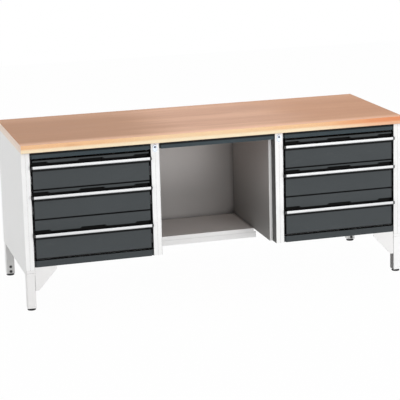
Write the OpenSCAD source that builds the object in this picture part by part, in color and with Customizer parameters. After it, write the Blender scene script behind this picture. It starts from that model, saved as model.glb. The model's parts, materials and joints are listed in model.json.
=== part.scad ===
// Storage workbench: a plywood top on two panelled end frames, with a bank of three
// full-extension drawers at each end and an open bay with a half-depth shelf between them.
// Millimetres. Origin on the floor under the middle of the bench, +Z up, front towards -Y.

/* [Bench] */
// Length of the worktop
bench_w = 2000; // [1850:10:2400]
// Depth of the worktop, front to back
bench_d = 750; // [740:10:900]
// Height of the working surface
bench_h = 840; // [800:10:950]
// Thickness of the plywood top
top_t = 40; // [30:1:50]
// Radius worn on the long edges of the top
top_edge_r = 3; // [1:0.5:8]
// Distance of the frame's front plane behind the top's front edge
front_setback = 20; // [18:1:30]
// Distance of the frame's back plane in front of the top's back edge
back_setback = 20; // [10:1:30]

/* [End frames and legs] */
// Width of every upright seen from the front
upright_w = 45; // [40:1:60]
// Depth of the end frames' folded columns and of the legs
column_d = 50; // [44:1:60]
// Sheet thickness of the end frames, posts and legs
frame_t = 2; // [1.5:0.1:3]
// Outside bend radius of the folded columns and posts
bend_r = 5; // [2.5:0.1:6]
// Width of the return lip on the back of each column
column_lip = 15; // [8:1:20]
// Distance that the end panels hang below the cabinets
panel_drop = 38; // [20:1:60]
// Height of the collar at the top of each leg
collar_h = 30; // [20:1:45]
// Width of the line pressed along the middle of every upright
seam_w = 1; // [0.6:0.1:2]
// Depth of the pressed line
seam_d = 0.6; // [0.3:0.1:0.8]
// Amount that the collar stands proud of the leg
collar_proud = 0.8; // [0.4:0.1:1.5]
// Distance of the collar's top below the cabinets
collar_drop = 13; // [8:1:18]
// Length of the leg's spigot inside the column
spigot_l = 90; // [40:5:150]
// Clearance round the spigot
spigot_gap = 0.3; // [0.2:0.05:0.5]

/* [Leg braces and bolts] */
// Horizontal reach of the triangular brace
brace_w = 110; // [80:5:160]
// Height of the triangular brace
brace_h = 120; // [80:5:130]
// Sheet thickness of the brace
brace_t = 2; // [1.5:0.5:3]
// Length of the brace's blunt tips
brace_tip = 15; // [10:1:25]
// Depth of the brace's folded flanges
brace_flange = 22; // [12:1:28]
// Diameter of the bolt heads on the legs
leg_bolt_head_d = 14; // [10:1:16]
// Diameter of the leg bolts
leg_bolt_d = 8; // [6:1:10]
// Height of the lower leg bolt above the leg's end
leg_bolt_rise = 12; // [11:1:30]
// Distance between the two leg bolts
leg_bolt_pitch = 26; // [18:1:40]

/* [Levelling feet] */
// Diameter of the foot pad
foot_d = 42; // [30:1:42]
// Height of the foot pad
foot_pad_h = 9; // [8:1:16]
// Gap between the foot pad and the leg's end
foot_gap = 1; // [0.5:0.5:20]
// Diameter of the foot spindle
spindle_d = 12; // [8:1:14]
// Radial running clearance of the spindle in the leg's plate
spindle_gap = 0.07; // [0.03:0.01:0.09]
// Length of the foot, floor to spindle end
foot_l = 75; // [60:1:110]
// Thickness of the threaded plate that closes the leg
foot_plate_t = 6; // [4:1:8]

/* [Cabinet sheet metal] */
// Sheet thickness of the cabinets
sheet_t = 1.5; // [1:0.1:2]
// Depth of the folded flanges round each panel
tray_d = 15; // [10:1:18]
// Depth of the intermediate posts
post_d = 60; // [45:1:70]
// Visible width of the bay's front flanges beside the posts
bay_flange = 15; // [10:1:25]
// Height of the fascia under the top
fascia_h = 33; // [25:1:45]
// Depth of the folded fascia and bottom rail
rail_d = 15; // [10:1:20]
// Distance of the end tabs behind the face of the fascia and the bottom rail
tab_set = 5; // [2:0.5:8]
// Height of the shadow gap between the top and the fascia
fascia_drop = 6; // [3:0.5:10]
// Height of the rail below the bottom drawer
bottom_rail_h = 32; // [25:1:45]
// Gap between the bottom drawer and its rail
bottom_gap = 8; // [4:1:12]
// Gap between the fascia and the top drawer
top_gap = 7; // [4:1:12]

/* [Half-depth shelf] */
// Distance of the shelf's front edge behind the frame's front plane
shelf_back = 332; // [250:5:420]
// Height of the shelf's deck above the cabinets' underside
shelf_rise = 2; // [2:0.5:20]
// Height of the shelf's upper front face
shelf_lip_h = 21; // [15:1:30]
// Height of the shelf's lower front face
shelf_apron_h = 31; // [15:1:40]
// Distance of the shelf's lower front face behind the upper one
shelf_step = 8; // [2:0.5:12]

/* [Drawers] */
// Front pitch of the top and middle drawers
small_pitch = 150; // [125:5:160]
// Front pitch of the bottom drawer
large_pitch = 200; // [175:5:210]
// Gap between two drawer fronts
front_gap = 4; // [3:0.5:6]
// Gap between a drawer front and the uprights
side_gap = 9; // [6:0.5:10]
// Thickness of the folded drawer front
front_t = 20; // [16:1:24]
// Edge radius of the drawer front
front_r = 3; // [1:0.5:3]
// Width of the hem folded behind the front, which the drawer box is screwed to
hem_w = 14; // [12:1:20]
// Length of the drawer boxes and their runners
runner_l = 600; // [400:10:610]
// Distance of the drawer box's floor above the drawer's lower line
box_rise = 12; // [8:1:16]
// Distance of the drawer box's rim below the drawer's upper line
box_drop = 16; // [12:1:30]
// Width of the folded rim inside the drawer box
rim_w = 8; // [5:1:12]

/* [Drawer handles] */
// Distance of the handle's middle below the top line of the small drawers
small_handle_drop = 36; // [30:1:45]
// Distance of the handle's middle below the top line of the large drawer
large_handle_drop = 79; // [40:1:100]
// Height of the handle's gripping lip
handle_h = 16; // [14:1:24]
// Distance that the handle stands out of the front
handle_proj = 19.5; // [14:0.5:25]
// Wall thickness of the handle extrusion
handle_t = 3; // [2:0.5:4]
// Distance from the end of the front to the end of the handle
handle_inset = 0; // [0:0.5:10]
// Depth of the finger recess behind the handle
recess_d = 13; // [8:1:15]
// Height of the recess above the handle's middle
recess_up = 16.5; // [13:0.5:18]
// Depth of the recess below the handle's middle
recess_down = 4; // [2:0.5:4.5]
// Extra height of the recess at its ends and middle
notch_h = 8; // [0.5:0.5:10]
// Width of the tall part at each end of the recess
end_notch_w = 72; // [40:2:90]
// Width of the tall part in the middle of the recess
mid_notch_w = 115; // [60:5:160]

/* [Telescopic runners] */
// Space taken by one runner between the cabinet and the drawer box
runner_w = 13; // [12.5:0.1:16]
// Height of the runner's outer rail
runner_h = 45; // [40:1:50]
// Height of the runner's middle above the drawer's lower line
runner_rise = 45; // [40:1:50]
// Sheet thickness of the runner
runner_t = 1.5; // [1.2:0.1:1.8]
// Height of the sliding rail between the outer and the drawer rail
slider_h = 34; // [32:0.5:36]
// Height of the rail on the drawer box
drawer_rail_h = 22; // [16:1:24]
// Running clearance of the bearing strips
bearing_gap = 0.3; // [0.2:0.05:0.5]
// Distance of the runner's front end behind the frame's front plane
runner_back = 24; // [22:1:30]

/* [Locks] */
// Distance of the lock's middle below the worktop
lock_drop = 22; // [20:1:60]
// Diameter of the lock's front flange
lock_flange_d = 22; // [20:1:28]
// Distance of the escutcheon's lower round end below the lock's middle
escutcheon_drop = 14; // [8:1:20]
// Diameter of the lock housing through the post
lock_body_d = 18; // [16:1:20]
// Reach of the lock housing behind the frame's front plane
housing_l = 24; // [22:1:26]
// Diameter of the lock barrel
barrel_d = 12; // [10:1:13]
// Radial running clearance of the barrel
barrel_gap = 0.06; // [0.03:0.01:0.09]
// Distance that the locking bar travels
lock_travel = 8; // [6:0.5:10]
// Diameter of the crank pin behind the barrel
crank_pin_d = 4; // [3:0.5:5]
// Clearance of the crank pin in the bar's slot
crank_gap = 0.4; // [0.3:0.05:0.6]
// Width of the locking bar
bar_w = 16; // [12:1:20]
// Thickness of the locking bar
bar_t = 3; // [2:0.5:4]
// Length of the locking bar below its lowest finger
bar_tail = 30; // [10:5:80]
// Reach of each locking finger beyond the post
finger_reach = 9; // [7:0.5:9.5]
// Height of each locking finger
finger_h = 4; // [3:0.5:6]
// Height of the catches above the drawer's lower line
catch_rise = 90; // [84:1:96]
// Height of each catch on the drawer box
catch_h = 8; // [5:0.5:10]

/* [Worktop screws] */
// Shank diameter of the screws that hold the top
screw_d = 5; // [4:0.5:6]
// Depth that the screws reach into the top
screw_l = 25; // [15:1:28]
// Head diameter of the screws
screw_head_d = 10; // [8:0.5:11]
// Distance of the screws either side of the middle
screw_y = 200; // [120:10:260]

/* [Hidden] */
$fn = 48;
eps = 0.01;
fit_gap = 0.1;               // radial clearance of bolts and screws in their holes

// main planes
x_end = bench_w / 2;
y_front = -bench_d / 2 + front_setback;
y_back = bench_d / 2 - back_setback;
y_mid = (y_front + y_back) / 2;
z_top = bench_h - top_t;
pitches = [small_pitch, small_pitch, large_pitch];
z_drawers = z_top - fascia_h - top_gap;
z_cab = z_drawers - 2 * small_pitch - large_pitch - bottom_gap - bottom_rail_h;

// bays between the four uprights
bay_w = (bench_w - 4 * upright_w) / 3;
function bay_x(i) = -x_end + upright_w + i * (bay_w + upright_w);
bay_half = bay_w / 2 - bay_flange;
apron_half = bay_w / 2 - 1;
post_x = bay_w / 2 + upright_w / 2;
post_back = y_front + post_d;
panel_back = y_back - 3.5;   // back face of the cabinets, clear of the top's screws
back_front = panel_back - tray_d;
base_front = y_front + rail_d;

// legs
leg_w = upright_w - frame_t;
leg_d = column_d - frame_t;
leg_x = -x_end + frame_t + leg_w / 2;
leg_y = y_front + leg_d / 2;
leg_end_z = foot_pad_h + 2 + foot_gap;
leg_bolt_z = leg_end_z + leg_bolt_rise;
collar_top = z_cab - collar_drop;
collar_z = collar_top - collar_h;
bolt_head_h = 4;
bolt_grip = 8;

// drawers
front_w = bay_w - 2 * side_gap;
front_back = y_front + front_t;
box_w = bay_w - 2 * runner_w;
runner_y = y_front + runner_back;
function drawer_z(n) = z_drawers - (n + 1) * small_pitch + (n == 2 ? small_pitch - large_pitch : 0);
function handle_drop(n) = n == 2 ? large_handle_drop : small_handle_drop;
function handle_z(n) = drawer_z(n) + pitches[n] - handle_drop(n);
drawer_rail_w = 6.5;         // depth of the rail on the drawer box
slider_back = 3.5;           // gap behind the sliding rail's web
slider_w = 8.5;
strip_w = 4;
lip_h = 4.5;
overlap_l = runner_l / 2;

// locks
lock_z = z_top - lock_drop;
housing_back = y_front + housing_l;
disc_t = 3.2;
disc_gap = 0.4;
bar_y = housing_back + disc_gap + disc_t + 1;
crank_r = lock_travel / sqrt(2);
catch_y = bar_y + bar_t + 3;
catch_l = 8;
catch_w = 9;
finger_gap = 1;
slot_gap = 1.2;
function finger_z(n) = drawer_z(n) + catch_rise + catch_h + finger_gap;

paint_light = [0.86, 0.86, 0.85];
paint_dark = [0.28, 0.30, 0.32];
zinc = [0.72, 0.73, 0.74];
aluminium = [0.88, 0.89, 0.90];
black = [0.08, 0.08, 0.08];
beech = [0.82, 0.65, 0.50];

// extrusions along the three axes and a box between two corners
module along_x(x0, x1) translate([x0, 0, 0]) rotate([90, 0, 90]) linear_extrude(x1 - x0) children();
module along_y(y0, y1) translate([0, y1, 0]) rotate([90, 0, 0]) linear_extrude(y1 - y0) children();
module along_z(z0, z1) translate([0, 0, z0]) linear_extrude(z1 - z0) children();
module block(a, b) translate(a) cube(b - a);
module rect(x0, x1, y0, y1) translate([x0, y0]) square([x1 - x0, y1 - y0]);
module round_rect(x0, x1, y0, y1, r) {
    rect(x0 + r, x1 - r, y0, y1);
    rect(x0, x1, y0 + r, y1 - r);
    for (x = [x0 + r, x1 - r], y = [y0 + r, y1 - r]) translate([x, y]) circle(r);
}
module pin_y(d, y0, y1) translate([0, y1, 0]) rotate([90, 0, 0]) cylinder(h = y1 - y0, d = d);

// the same piece on the other end of the bench, or on its back
module at_end(right) if (right) mirror([1, 0, 0]) children(); else children();
module at_back(rear) if (rear) translate([0, 2 * y_mid, 0]) mirror([0, 1, 0]) children(); else children();

// a sheet with folded flanges on all four edges: a box open towards the given side
module tray(a, b, open) {
    t = sheet_t;
    difference() {
        block(a, b);
        block([for (i = [0:2]) a[i] + (open == i + 4 ? -eps : t)],
              [for (i = [0:2]) b[i] + (open == i + 1 ? eps : -t)]);
    }
}

module screw_places() {
    for (x = [x_end - upright_w + tray_d / 2, post_x + upright_w / 2 - tray_d / 2,
              bay_half + tray_d / 2], s = [-1, 1], y = [-screw_y, screw_y])
        translate([s * x, y, 0]) children();
}

module worktop() color(beech) difference() {
    along_x(-x_end, x_end) round_rect(-bench_d / 2, bench_d / 2, z_top, bench_h, top_edge_r);
    screw_places() translate([0, 0, z_top - eps])
        cylinder(h = screw_l + 1, d = screw_d + 2 * fit_gap);
}

module worktop_screws() color(zinc) screw_places() {
    translate([0, 0, z_top - sheet_t - 3]) cylinder(h = 3, d = screw_head_d);
    translate([0, 0, z_top - sheet_t - eps]) cylinder(h = screw_l + sheet_t, d = screw_d);
}

module flange_holes() screw_places() translate([0, 0, z_top - sheet_t - 1])
    cylinder(h = sheet_t + 2, d = screw_d + 2 * fit_gap);

module seam_plan(x) rect(x - seam_w / 2, x + seam_w / 2, y_front - 1, y_front + seam_d);

// plan section of the front column: a folded box with a lipped opening at the back
module column_plan() {
    x0 = -x_end;
    x1 = -x_end + upright_w;
    y1 = y_front + column_d;
    difference() {
        round_rect(x0, x1, y_front, y1 + bend_r, bend_r);
        round_rect(x0 + frame_t, x1 - frame_t, y_front + frame_t, y1 + 2 * bend_r, bend_r - frame_t);
        rect(x0 - 1, x1 + 1, y1, y1 + 3 * bend_r);
        seam_plan((x0 + x1) / 2);
    }
    rect(x1 - column_lip, x1 - eps, y1 - frame_t, y1);
}

module end_frame(right) color(paint_light) at_end(right) {
    along_z(collar_top, z_top) for (rear = [false, true]) translate([0, rear ? 2 * y_mid : 0])
        mirror([0, rear ? 1 : 0]) column_plan();
    block([-x_end, y_front + bend_r, z_cab - panel_drop], [-x_end + frame_t, y_back - bend_r, z_top]);
}

module leg(right, rear) color(paint_light) at_end(right) at_back(rear) {
    x0 = -x_end + frame_t;
    x1 = x0 + leg_w;
    y1 = y_front + leg_d;
    inner_r = bend_r - frame_t;
    g = frame_t;
    c = collar_proud;
    s = spigot_gap;
    difference() {
        union() {
            along_z(leg_end_z, collar_top) round_rect(x0, x1, y_front, y1, bend_r);
            for (z = [collar_z, collar_z + (collar_h + seam_w) / 2]) along_z(z, z + (collar_h - seam_w) / 2)
                round_rect(x0, x1 + c, y_front - c, y1 + c, bend_r);
        }
        along_z(leg_end_z + foot_plate_t, collar_top - g)
            round_rect(x0 + g, x1 - g, y_front + g, y1 - g, inner_r);
        translate([leg_x, leg_y, leg_end_z - 1])
            cylinder(h = foot_plate_t + 2, d = spindle_d + 2 * spindle_gap);
        leg_bolt_places() pin_y(leg_bolt_d + 2 * fit_gap, -g - 1, 1);
    }
    difference() {
        along_z(collar_top - eps, collar_top + spigot_l)
            round_rect(x0 + s, x1 - g - s, y_front + g + s, y1 - g - s, inner_r);
        along_z(collar_top - 1, collar_top + spigot_l + 1)
            round_rect(x0 + s + g, x1 - 2 * g - s, y_front + 2 * g + s, y1 - 2 * g - s, inner_r);
    }
}

// the two bolts on the leg's inner face
module leg_bolt_places() for (n = [0, 1])
    translate([leg_x, y_front + leg_d, leg_bolt_z + n * leg_bolt_pitch]) children();

module leg_bolts() color(black) for (right = [false, true], rear = [false, true])
    at_end(right) at_back(rear) leg_bolt_places() {
        pin_y(leg_bolt_head_d, 0, bolt_head_h);
        pin_y(leg_bolt_d, -bolt_grip, eps);
    }

// triangular brace from the leg to the underside of the cabinets
module brace_plan() {
    x0 = -x_end + upright_w + 1;
    polygon([[x0, z_cab], [x0 + brace_w, z_cab], [x0 + brace_w, z_cab - brace_tip],
        [x0 + brace_tip, z_cab - brace_h], [x0, z_cab - brace_h]]);
}

module leg_braces() color(paint_light) for (right = [false, true], rear = [false, true])
    at_end(right) at_back(rear) {
        x0 = -x_end + upright_w;
        y0 = y_front + 1;
        run = brace_w - brace_tip;
        fall = brace_h - brace_tip;
        slope_l = sqrt(run * run + fall * fall);
        along_y(y0, y0 + brace_t) brace_plan();
        block([x0, y0, z_cab - brace_h], [x0 + brace_t, y0 + brace_flange, collar_z - 1]);
        block([x0 + 1, y0, z_cab - brace_t], [x0 + 1 + brace_w, y0 + brace_flange, z_cab]);
        translate([x0 + 1 + brace_tip, y0 + brace_t / 2, z_cab - brace_h]) rotate([0, -atan2(fall, run), 0])
            translate([1, 0, 0.3]) cube([slope_l - 2, brace_flange / 2, brace_t]);
    }

// levelling foot: a low pad, a threaded spindle that turns in the leg's plate, and its stop nut in the leg
module foot(right, rear) color(black) at_end(right) at_back(rear) translate([leg_x, leg_y, 0]) {
    r = foot_d / 2;
    rotate_extrude() difference() {
        union() {
            rect(0, r - 2, 0, foot_pad_h - 4);
            rect(0, r, 2, foot_pad_h - 4);
            translate([r - 2, 2]) circle(2);
            polygon([[0, foot_pad_h - 4 - eps], [r, foot_pad_h - 4 - eps], [r - 6, foot_pad_h],
                [spindle_d / 2 + 3, foot_pad_h + 2], [0, foot_pad_h + 2]]);
        }
        rect(-r, 0, -1, foot_l);
    }
    cylinder(h = foot_l, d = spindle_d);
    translate([0, 0, leg_end_z + foot_plate_t + 1]) cylinder(h = 7, d = spindle_d * 1.75, $fn = 6);
}

// intermediate post between a drawer cabinet and the open bay
module centre_post(right) color(paint_light) at_end(right) {
    x0 = -post_x - upright_w / 2;
    x1 = -post_x + upright_w / 2;
    t = frame_t;
    lip = 10;
    difference() {
        union() {
            along_z(z_cab, z_top) difference() {
                round_rect(x0, x1, y_front, post_back + bend_r, bend_r);
                round_rect(x0 + t, x1 - t, y_front + t, post_back + 2 * bend_r, bend_r - t);
                rect(x0 - 1, x1 + 1, post_back, post_back + 3 * bend_r);
            }
            along_z(z_cab, z_top) for (x = [x0 + eps, x1 - lip]) rect(x, x + lip - eps, post_back - t, post_back);
            for (n = [1, 2]) bar_guide(n);
        }
        translate([-post_x, 0, lock_z]) pin_y(lock_body_d + 2 * fit_gap, y_front - 1, y_front + t + 1);
        along_z(z_cab - 1, z_top + 1) seam_plan(-post_x);
        for (n = [0:2]) block([x0 - 1, bar_y - slot_gap, finger_z(n) - lock_travel - slot_gap],
            [x0 + t + 1, bar_y + bar_t + slot_gap, finger_z(n) + finger_h + slot_gap]);
    }
}

// saddle that guides the locking bar inside the post, level with the gap over drawer n
module bar_guide(n) {
    z = drawer_z(n) + pitches[n] - 20;
    s = bar_w / 2 + bearing_gap;
    difference() {
        block([-post_x - s - 3, y_front + frame_t - eps, z], [-post_x + s + 3, bar_y + bar_t + 2, z + 12]);
        block([-post_x - s, bar_y - bearing_gap, z - 1], [-post_x + s, bar_y + bar_t + 3, z + 13]);
    }
}

module cabinet_outer_side(right) color(paint_light) at_end(right) difference() {
    tray([-x_end + upright_w - tray_d, y_front + column_d, z_cab],
         [-x_end + upright_w, y_back - column_d, z_top], 4);
    flange_holes();
}

module cabinet_inner_side(right) color(paint_light) at_end(right) difference() {
    tray([-post_x - upright_w / 2, post_back, z_cab],
         [-post_x - upright_w / 2 + tray_d, panel_back, z_top], 1);
    flange_holes();
}

module bay_side(right) color(paint_light) at_end(right) difference() {
    union() {
        tray([-bay_half - tray_d, post_back, z_cab], [-bay_half, panel_back, z_top], 4);
        block([-post_x - bay_flange / 2, post_back, z_cab], [-bay_half - eps, post_back + sheet_t, z_top]);
    }
    flange_holes();
}

module cabinet_backs() color(paint_light) for (right = [false, true]) at_end(right)
    tray([bay_x(0), back_front, z_cab], [bay_x(0) + bay_w, panel_back, z_top], 5);

module cabinet_bases() color(paint_light) for (right = [false, true]) at_end(right)
    tray([bay_x(0), base_front, z_cab], [bay_x(0) + bay_w, back_front, z_cab + tray_d], 3);

// a folded channel along X, open at the back, with set-back tabs that reach the uprights
module channel(i, z0, z1) {
    x0 = bay_x(i);
    x1 = x0 + bay_w;
    y0 = y_front + tab_set;
    tray([x0 + side_gap, y_front, z0], [x1 - side_gap, y_front + rail_d, z1], 2);
    for (x = [x0, x1 - side_gap - sheet_t]) block([x, y0, z0 + sheet_t], [x + side_gap + sheet_t, y0 + sheet_t, z1]);
}

module bottom_rails() color(paint_dark) for (right = [false, true]) at_end(right)
    channel(0, z_cab, z_cab + bottom_rail_h);

module fascia(i) color(paint_dark) channel(i, z_top - fascia_h, z_top - fascia_drop);

module bay_back() color(paint_light)
    tray([-bay_half, back_front, z_cab], [bay_half, panel_back, z_top], 2);

// shelf deck with flanges folded down at the bay's walls, and a stepped apron that reaches under them
module base_shelf() color(paint_light) {
    y0 = y_front + shelf_back;
    z1 = z_cab + shelf_rise;
    z_lip = z1 - shelf_lip_h;
    z_low = z_lip - shelf_apron_h;
    t = sheet_t;
    block([-bay_half, y0, z1 - t], [bay_half, back_front, z1]);
    block([-bay_half, y0, z_lip], [bay_half, y0 + t, z1]);
    block([-bay_half, y0, z_lip], [bay_half, y0 + shelf_step + t, z_lip + t]);
    block([-apron_half, y0 + shelf_step, z_low], [apron_half, y0 + shelf_step + t, z_lip + t]);
    block([-apron_half, y0 + shelf_step, z_low], [apron_half, y0 + shelf_step + tray_d, z_low + t]);
    block([-bay_half, back_front - t, z1 - tray_d], [bay_half, back_front, z1]);
    for (x = [-bay_half, bay_half - t]) block([x, y0 + tray_d, z1 - tray_d], [x + t, back_front, z1]);
}

// section of the fixed rail: x from the cabinet wall, z from the runner's middle
module outer_rail_plan() {
    h = runner_h / 2;
    w = runner_w - 1;
    t = runner_t;
    rect(0, t, -h, h);
    for (s = [-1, 1]) {
        rect(0, w, min(s * h, s * (h - t)), max(s * h, s * (h - t)));
        rect(w - t, w, min(s * h, s * (h - lip_h)), max(s * h, s * (h - lip_h)));
    }
}

module slider_plan() {
    h = slider_h / 2;
    t = runner_t;
    x0 = slider_back;
    rect(x0, x0 + t, -h, h);
    for (s = [-1, 1]) rect(x0, x0 + slider_w, min(s * h, s * (h - t)), max(s * h, s * (h - t)));
}

// bearing strips above and below a rail between two heights
module strips_plan(x0, z0, z1) for (s = [-1, 1])
    rect(x0, x0 + strip_w, min(s * z0, s * z1), max(s * z0, s * z1));

module runner_section(n, side, y0, y1) translate([0, 0, drawer_z(n) + runner_rise])
    translate([side ? bay_x(0) + bay_w : bay_x(0), 0, 0]) mirror([side ? 1 : 0, 0, 0])
        along_y(y0, y1) children();

module runner_outer_rails() color(zinc) for (right = [false, true], n = [0:2], side = [false, true])
    at_end(right) runner_section(n, side, runner_y, runner_y + runner_l) outer_rail_plan();

// sliding rails with the bearing strips that stay inside both neighbours over the whole travel
module runner_sliders(right, n) color(zinc) at_end(right) for (side = [false, true]) {
    h = slider_h / 2;
    outer_h = runner_h / 2 - runner_t - bearing_gap;
    inner_h = drawer_rail_h / 2 + bearing_gap;
    x0 = slider_back + runner_t;
    runner_section(n, side, runner_y, runner_y + runner_l) slider_plan();
    runner_section(n, side, runner_y + overlap_l + 6, runner_y + runner_l - 5)
        strips_plan(x0, h - eps, outer_h);
    runner_section(n, side, runner_y + 6, runner_y + overlap_l - 10)
        strips_plan(x0 + 2, inner_h, h - runner_t + eps);
}

module drawer_rail_plan() {
    h = drawer_rail_h / 2;
    t = runner_t;
    x1 = runner_w + eps;
    rect(runner_w - t, x1, -h, h);
    for (s = [-1, 1]) rect(runner_w - drawer_rail_w, x1, min(s * h, s * (h - t)), max(s * h, s * (h - t)));
}

// drawer body: a welded tray with a folded rim, its two rails and the lock's catch
module drawer_box(right, n) color(paint_light) at_end(right) {
    t = sheet_t;
    x0 = bay_x(0) + runner_w;
    x1 = x0 + box_w;
    y1 = front_back + runner_l;
    z0 = drawer_z(n) + box_rise;
    z1 = drawer_z(n) + pitches[n] - box_drop;
    difference() {
        block([x0, front_back, z0], [x1, y1, z1]);
        block([x0 + t, front_back + t, z0 + t], [x1 - t, y1 - t, z1 - t]);
        block([x0 + rim_w, front_back + rim_w, z0 + t], [x1 - rim_w, y1 - rim_w, z1 + 1]);
    }
    for (side = [false, true]) runner_section(n, side, runner_y, y1) drawer_rail_plan();
    block([x1 - eps, catch_y, drawer_z(n) + catch_rise],
          [x1 + catch_w, catch_y + catch_l, drawer_z(n) + catch_rise + catch_h]);
}

// drawer front: a folded panel with a finger recess behind the handle, taller at its ends and middle
module drawer_front(right, n) color(paint_dark) at_end(right) {
    t = sheet_t;
    x0 = bay_x(0) + side_gap;
    x1 = x0 + front_w;
    xm = (x0 + x1) / 2;
    z0 = drawer_z(n) + front_gap / 2;
    z1 = drawer_z(n) + pitches[n] - front_gap / 2;
    low = handle_z(n) - recess_down;
    high = handle_z(n) + recess_up;
    difference() {
        along_z(z0, z1) round_rect(x0, x1, y_front, front_back, front_r);
        block([x0 + t, y_front - 1, low], [x1 - t, y_front + recess_d, high]);
        for (x = [[x0 + t, x0 + end_notch_w], [xm - mid_notch_w / 2, xm + mid_notch_w / 2],
                  [x1 - end_notch_w, x1 - t]])
            block([x[0], y_front - 1, high - eps], [x[1], y_front + recess_d, high + notch_h]);
        block([x0 + t, y_front + t, z0 + t], [x1 - t, front_back - t, low - t]);
        block([x0 + t, y_front + t, high + notch_h + t], [x1 - t, front_back - t, z1 - t]);
        block([x0 + t, y_front + recess_d + t, low - t - eps], [x1 - t, front_back - t, high + notch_h + t + eps]);
        block([x0 + hem_w, front_back - t - 1, z0 + hem_w], [x1 - hem_w, front_back + 1, z1 - hem_w]);
    }
}

// section of the handle: a J with a rounded gripping lip and a floor that stands on the front
module handle_plan() {
    h = handle_h / 2;
    p = handle_proj;
    t = handle_t;
    r = t * 1.8;
    difference() {
        round_rect(-p, r * 2, -h, h + r * 2, r);
        round_rect(-p + t, r * 3, -h + t, h + r * 3, r - t / 2);
        rect(0, r * 4, -h - 1, h + r * 4);
        rect(-p - 1, r * 4, h - t / 2, h + r * 4);
    }
    translate([-p + t / 2, h - t / 2]) circle(t / 2);
}

module drawer_handle(right, n) color(aluminium) at_end(right)
    translate([0, y_front, handle_z(n)])
        along_x(bay_x(0) + side_gap + handle_inset, bay_x(0) + bay_w - side_gap - handle_inset)
            handle_plan();

module at_lock(right) translate([right ? post_x : -post_x, 0, lock_z]) children();

module lock_housings() color(zinc) for (right = [false, true]) at_lock(right) difference() {
    union() {
        for (z = [0, -escutcheon_drop]) translate([0, 0, z]) pin_y(lock_flange_d, y_front - 2, y_front);
        block([-lock_flange_d / 2, y_front - 2, -escutcheon_drop], [lock_flange_d / 2, y_front, 0]);
        pin_y(lock_body_d, y_front - 1, housing_back);
    }
    pin_y(barrel_d + 2 * barrel_gap, y_front - 3, housing_back + 1);
}

// barrel with its keyway, and the crank disc and pin that move the locking bar
module lock_barrel(right) color(aluminium) at_lock(right) {
    difference() {
        pin_y(barrel_d, y_front - 2.4, housing_back + disc_gap + eps);
        block([-0.9, y_front - 3, -3.2], [0.9, y_front + 6, 3.2]);
    }
    pin_y(lock_body_d - 2, housing_back + disc_gap, housing_back + disc_gap + disc_t);
    rotate([0, -45, 0]) translate([crank_r, 0, 0])
        pin_y(crank_pin_d, housing_back + disc_gap + disc_t - eps, bar_y + bar_t + 0.5);
}

// flat bar in the post: the crank's slot at its head, and one finger for each drawer
module locking_bar(right) color(zinc) {
    s = right ? 1 : -1;
    lift = crank_r * sin(45);
    half = crank_pin_d / 2 + crank_gap;
    head_w = crank_r + half + 4;
    low = finger_z(2) - bar_tail;
    reach = upright_w / 2 + finger_reach;
    along_y(bar_y, bar_y + bar_t) difference() {
        union() {
            rect(s * post_x - bar_w / 2, s * post_x + bar_w / 2, low, lock_z + lift + half + 4);
            rect(s * post_x - bar_w / 2, s * post_x + head_w, lock_z + lift - half - 4,
                lock_z + lift + half + 4);
            for (n = [0:2]) rect(min(s * post_x, s * (post_x + reach)), max(s * post_x, s * (post_x + reach)),
                finger_z(n), finger_z(n) + finger_h);
        }
        rect(s * post_x + lift - half, s * post_x + crank_r + half, lock_z + lift - half, lock_z + lift + half);
    }
}

worktop();
worktop_screws();
end_frame(false);  // end_frame_left
end_frame(true);  // end_frame_right
leg(false, false);  // leg_front_left
leg(true, false);  // leg_front_right
leg(false, true);  // leg_rear_left
leg(true, true);  // leg_rear_right
leg_braces();
leg_bolts();
foot(false, false);  // foot_front_left
foot(true, false);  // foot_front_right
foot(false, true);  // foot_rear_left
foot(true, true);  // foot_rear_right
centre_post(false);  // centre_post_left
centre_post(true);  // centre_post_right
cabinet_outer_side(false);  // left_cabinet_outer_side
cabinet_inner_side(false);  // left_cabinet_inner_side
cabinet_inner_side(true);  // right_cabinet_inner_side
cabinet_outer_side(true);  // right_cabinet_outer_side
cabinet_backs();
cabinet_bases();
bottom_rails();
bay_side(false);  // bay_side_left
bay_side(true);  // bay_side_right
bay_back();
base_shelf();
fascia(0);  // fascia_left
fascia(1);  // fascia_centre
fascia(2);  // fascia_right
runner_outer_rails();
lock_housings();
lock_barrel(false);  // lock_barrel_left
lock_barrel(true);  // lock_barrel_right
locking_bar(false);  // locking_bar_left
locking_bar(true);  // locking_bar_right
drawer_box(false, 0);  // left_top_drawer_box
drawer_front(false, 0);  // left_top_drawer_front
drawer_handle(false, 0);  // left_top_drawer_handle
runner_sliders(false, 0);  // left_top_runner_sliders
drawer_box(false, 1);  // left_middle_drawer_box
drawer_front(false, 1);  // left_middle_drawer_front
drawer_handle(false, 1);  // left_middle_drawer_handle
runner_sliders(false, 1);  // left_middle_runner_sliders
drawer_box(false, 2);  // left_bottom_drawer_box
drawer_front(false, 2);  // left_bottom_drawer_front
drawer_handle(false, 2);  // left_bottom_drawer_handle
runner_sliders(false, 2);  // left_bottom_runner_sliders
drawer_box(true, 0);  // right_top_drawer_box
drawer_front(true, 0);  // right_top_drawer_front
drawer_handle(true, 0);  // right_top_drawer_handle
runner_sliders(true, 0);  // right_top_runner_sliders
drawer_box(true, 1);  // right_middle_drawer_box
drawer_front(true, 1);  // right_middle_drawer_front
drawer_handle(true, 1);  // right_middle_drawer_handle
runner_sliders(true, 1);  // right_middle_runner_sliders
drawer_box(true, 2);  // right_bottom_drawer_box
drawer_front(true, 2);  // right_bottom_drawer_front
drawer_handle(true, 2);  // right_bottom_drawer_handle
runner_sliders(true, 2);  // right_bottom_runner_sliders
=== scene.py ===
import json
import math
import bmesh
import bpy
from mathutils import Matrix, Vector


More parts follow.
